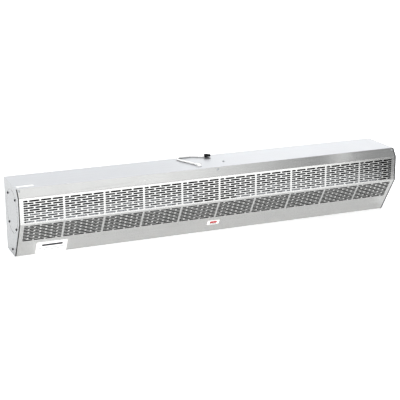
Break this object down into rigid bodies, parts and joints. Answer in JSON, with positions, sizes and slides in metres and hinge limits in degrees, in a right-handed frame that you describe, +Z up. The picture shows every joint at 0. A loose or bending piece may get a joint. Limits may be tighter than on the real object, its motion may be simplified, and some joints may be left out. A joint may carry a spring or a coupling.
{
  "type": "air curtain",
  "caption": "Long slotted steel case with cross-flow fan wheels on a central motor, which blows air down through a slot with adjustable vanes.",
  "frame": {"origin": "middle of the underside, on the plane that the case stands on", "axes": "+X along the case to the right as seen from the grille, -Y towards the viewer of the grille, +Z up"},
  "size_m": [1.5288, 0.208, 0.2833],
  "materials": {
    "front_cover": "brushed stainless sheet",
    "case_panel": "matt stainless sheet",
    "end_plate": "matt stainless sheet",
    "case_screw": "dull zinc-plated steel",
    "cover_screw": "bright stainless",
    "galvanised": "galvanised sheet with faint spangle",
    "wheel": "mill finish aluminium",
    "vane": "natural anodised",
    "rubber": "black rubber",
    "bronze": "sintered bronze",
    "nylon": "natural nylon",
    "shaft": "ground steel",
    "motor_paint": "semi-gloss dark enamel",
    "cast_bell": "die-cast, painted",
    "cradle": "dark enamel",
    "black_plastic": "moulded black",
    "capacitor_can": "drawn can",
    "lead_sheath": "white PVC sheath"
  },
  "bodies": {
    "case": {"front_cover": "front_cover", "top_panel": "case_panel", "back_panel": "case_panel", "bottom_panel": "case_panel", "left_end_plate": "end_plate", "right_end_plate": "end_plate", "end_plate_screws": "case_screw", "cover_screws": "cover_screw", "left_bearing_plate": "galvanised", "right_bearing_plate": "galvanised", "bearing_rings": "rubber", "bearing_bushes": "bronze", "left_scroll": "galvanised", "right_scroll": "galvanised", "left_tongue": "galvanised", "right_tongue": "galvanised", "left_outer_side": "galvanised", "left_inner_side": "galvanised", "right_inner_side": "galvanised", "right_outer_side": "galvanised", "nozzle_front_wall": "galvanised", "nozzle_rear_wall": "galvanised", "nozzle_bridge": "galvanised", "vane_brackets": "galvanised", "vane_bushes": "nylon", "vane_hanger": "galvanised", "motor_shell": "motor_paint", "left_motor_bell": "cast_bell", "right_motor_bell": "cast_bell", "motor_rings": "rubber", "motor_cradle": "cradle", "ring_clamps": "galvanised", "terminal_box": "galvanised", "terminal_box_lid": "galvanised", "terminal_block": "black_plastic", "motor_lead": "rubber", "capacitor": "capacitor_can", "capacitor_strap": "galvanised", "lead_bushing": "lead_sheath", "lead": "lead_sheath", "connector_socket": "black_plastic", "connector_plug": "black_plastic"},
    "rotor": {"left_wheel": "wheel", "right_wheel": "wheel", "left_drive_hub": "rubber", "right_drive_hub": "rubber", "left_stub_shaft": "shaft", "right_stub_shaft": "shaft", "motor_shaft": "shaft", "motor_rotor": "shaft"},
    "front_vane": {"front_vane": "vane"},
    "rear_vane": {"rear_vane": "vane"}
  },
  "joints": [
    {"name": "rotor_spin", "type": "hinge", "parent": "case", "child": "rotor", "pos_m": [0, -0.006, 0.17], "axis": [1, 0, 0], "continuous": true},
    {"name": "front_vane_tilt", "type": "hinge", "parent": "case", "child": "front_vane", "pos_m": [0, 0.02733, 0.03], "axis": [1, 0, 0], "range_deg": [-20, 20]},
    {"name": "rear_vane_tilt", "type": "hinge", "parent": "case", "child": "rear_vane", "pos_m": [0, 0.04867, 0.03], "axis": [1, 0, 0], "range_deg": [-20, 20]}
  ]
}
